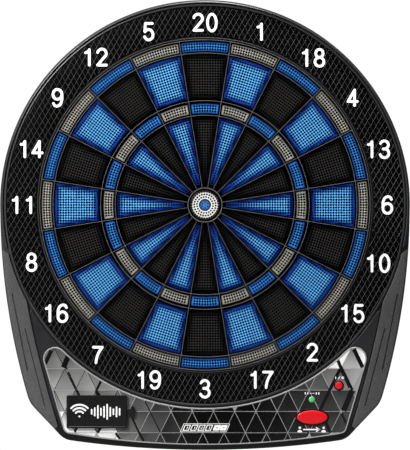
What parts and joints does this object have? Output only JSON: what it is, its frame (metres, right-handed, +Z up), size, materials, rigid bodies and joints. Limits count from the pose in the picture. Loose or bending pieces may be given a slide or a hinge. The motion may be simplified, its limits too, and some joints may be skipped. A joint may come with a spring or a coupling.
{
  "type": "electronic dartboard",
  "caption": "Wall-hung soft-tip electronic dartboard: round target of perforated pads that press in, number ring, side wings and a curved control panel with two buttons.",
  "frame": {"origin": "the bull's centre, on the flat back that lies against the wall", "axes": "+Z up, +Y towards the wall; the target faces -Y and +X is to the right seen from the front"},
  "size_m": [0.4888, 0.0385, 0.5365],
  "materials": {
    "dark_shell": "fine-textured moulded plastic",
    "wing_grey": "satin moulded plastic",
    "ring_black": "satin with a raised diamond hatch",
    "web_black": "satin moulded plastic",
    "pad_black": "satin, perforated",
    "pad_blue": "satin, perforated",
    "bull_cream": "satin, perforated",
    "rubber": "matt",
    "membrane_film": "smooth film",
    "hardboard": "pressed fibre board",
    "panel_gloss": "glossy printed face",
    "button_red": "satin",
    "led_green": "clear tinted lens",
    "module_black": "fine-textured moulded plastic",
    "circuit_green": "solder mask",
    "steel": "zinc plated",
    "battery_jacket": "printed sleeve"
  },
  "bodies": {
    "board": {"front_housing": "dark_shell", "front_skirt": "dark_shell", "target_tube": "dark_shell", "rear_housing": "dark_shell", "rear_wall": "dark_shell", "side_wing_left": "wing_grey", "side_wing_right": "wing_grey", "number_ring": "ring_black", "divider_web": "web_black", "rubber_mat": "rubber", "contact_membrane": "membrane_film", "backing_board": "hardboard", "control_panel": "panel_gloss", "power_collar": "module_black", "status_led_lens": "led_green", "wireless_module": "module_black", "module_stub": "module_black", "button_pad": "rubber", "main_circuit": "circuit_green", "ribbon_tail": "membrane_film", "battery_cover": "dark_shell", "battery_1": "battery_jacket", "battery_2": "battery_jacket", "battery_3": "battery_jacket", "battery_contact_left": "steel", "battery_contact_right": "steel", "case_screw_1": "steel", "case_screw_2": "steel", "case_screw_3": "steel", "case_screw_4": "steel", "case_screw_5": "steel", "case_screw_6": "steel", "wall_bumper_1": "rubber", "wall_bumper_2": "rubber", "wall_bumper_3": "rubber", "wall_bumper_4": "rubber"},
    "pads_01": {"segment_01": "pad_blue"},
    "pads_02": {"segment_02": "pad_black"},
    "pads_03": {"segment_03": "pad_black"},
    "pads_04": {"segment_04": "pad_blue"},
    "pads_05": {"segment_05": "pad_blue"},
    "pads_06": {"segment_06": "pad_blue"},
    "pads_07": {"segment_07": "pad_black"},
    "pads_08": {"segment_08": "pad_black"},
    "pads_09": {"segment_09": "pad_blue"},
    "pads_10": {"segment_10": "pad_black"},
    "pads_11": {"segment_11": "pad_blue"},
    "pads_12": {"segment_12": "pad_black"},
    "pads_13": {"segment_13": "pad_black"},
    "pads_14": {"segment_14": "pad_black"},
    "pads_15": {"segment_15": "pad_blue"},
    "pads_16": {"segment_16": "pad_blue"},
    "pads_17": {"segment_17": "pad_blue"},
    "pads_18": {"segment_18": "pad_black"},
    "pads_19": {"segment_19": "pad_blue"},
    "pads_20": {"segment_20": "pad_black"},
    "bull_outer": {"outer_bull": "bull_cream"},
    "bull_inner": {"inner_bull": "pad_blue"},
    "power_key": {"power_button": "button_red"},
    "next_player_key": {"next_player_button": "button_red"}
  },
  "joints": [
    {"name": "press_pads_01", "type": "slide", "parent": "board", "child": "pads_01", "axis": [0, 1, 0], "range_m": [0, 0.0012], "stiffness_N_per_m": 900},
    {"name": "press_pads_02", "type": "slide", "parent": "board", "child": "pads_02", "axis": [0, 1, 0], "range_m": [0, 0.0012], "stiffness_N_per_m": 900},
    {"name": "press_pads_03", "type": "slide", "parent": "board", "child": "pads_03", "axis": [0, 1, 0], "range_m": [0, 0.0012], "stiffness_N_per_m": 900},
    {"name": "press_pads_04", "type": "slide", "parent": "board", "child": "pads_04", "axis": [0, 1, 0], "range_m": [0, 0.0012], "stiffness_N_per_m": 900},
    {"name": "press_pads_05", "type": "slide", "parent": "board", "child": "pads_05", "axis": [0, 1, 0], "range_m": [0, 0.0012], "stiffness_N_per_m": 900},
    {"name": "press_pads_06", "type": "slide", "parent": "board", "child": "pads_06", "axis": [0, 1, 0], "range_m": [0, 0.0012], "stiffness_N_per_m": 900},
    {"name": "press_pads_07", "type": "slide", "parent": "board", "child": "pads_07", "axis": [0, 1, 0], "range_m": [0, 0.0012], "stiffness_N_per_m": 900},
    {"name": "press_pads_08", "type": "slide", "parent": "board", "child": "pads_08", "axis": [0, 1, 0], "range_m": [0, 0.0012], "stiffness_N_per_m": 900},
    {"name": "press_pads_09", "type": "slide", "parent": "board", "child": "pads_09", "axis": [0, 1, 0], "range_m": [0, 0.0012], "stiffness_N_per_m": 900},
    {"name": "press_pads_10", "type": "slide", "parent": "board", "child": "pads_10", "axis": [0, 1, 0], "range_m": [0, 0.0012], "stiffness_N_per_m": 900},
    {"name": "press_pads_11", "type": "slide", "parent": "board", "child": "pads_11", "axis": [0, 1, 0], "range_m": [0, 0.0012], "stiffness_N_per_m": 900},
    {"name": "press_pads_12", "type": "slide", "parent": "board", "child": "pads_12", "axis": [0, 1, 0], "range_m": [0, 0.0012], "stiffness_N_per_m": 900},
    {"name": "press_pads_13", "type": "slide", "parent": "board", "child": "pads_13", "axis": [0, 1, 0], "range_m": [0, 0.0012], "stiffness_N_per_m": 900},
    {"name": "press_pads_14", "type": "slide", "parent": "board", "child": "pads_14", "axis": [0, 1, 0], "range_m": [0, 0.0012], "stiffness_N_per_m": 900},
    {"name": "press_pads_15", "type": "slide", "parent": "board", "child": "pads_15", "axis": [0, 1, 0], "range_m": [0, 0.0012], "stiffness_N_per_m": 900},
    {"name": "press_pads_16", "type": "slide", "parent": "board", "child": "pads_16", "axis": [0, 1, 0], "range_m": [0, 0.0012], "stiffness_N_per_m": 900},
    {"name": "press_pads_17", "type": "slide", "parent": "board", "child": "pads_17", "axis": [0, 1, 0], "range_m": [0, 0.0012], "stiffness_N_per_m": 900},
    {"name": "press_pads_18", "type": "slide", "parent": "board", "child": "pads_18", "axis": [0, 1, 0], "range_m": [0, 0.0012], "stiffness_N_per_m": 900},
    {"name": "press_pads_19", "type": "slide", "parent": "board", "child": "pads_19", "axis": [0, 1, 0], "range_m": [0, 0.0012], "stiffness_N_per_m": 900},
    {"name": "press_pads_20", "type": "slide", "parent": "board", "child": "pads_20", "axis": [0, 1, 0], "range_m": [0, 0.0012], "stiffness_N_per_m": 900},
    {"name": "press_bull_outer", "type": "slide", "parent": "board", "child": "bull_outer", "axis": [0, 1, 0], "range_m": [0, 0.0012], "stiffness_N_per_m": 900},
    {"name": "press_bull_inner", "type": "slide", "parent": "board", "child": "bull_inner", "axis": [0, 1, 0], "range_m": [0, 0.0012], "stiffness_N_per_m": 900},
    {"name": "press_power_key", "type": "slide", "parent": "board", "child": "power_key", "axis": [0, 1, 0], "range_m": [0, 0.001], "stiffness_N_per_m": 600},
    {"name": "press_next_player_key", "type": "slide", "parent": "board", "child": "next_player_key", "axis": [0, 1, 0], "range_m": [0, 0.001], "stiffness_N_per_m": 600}
  ]
}
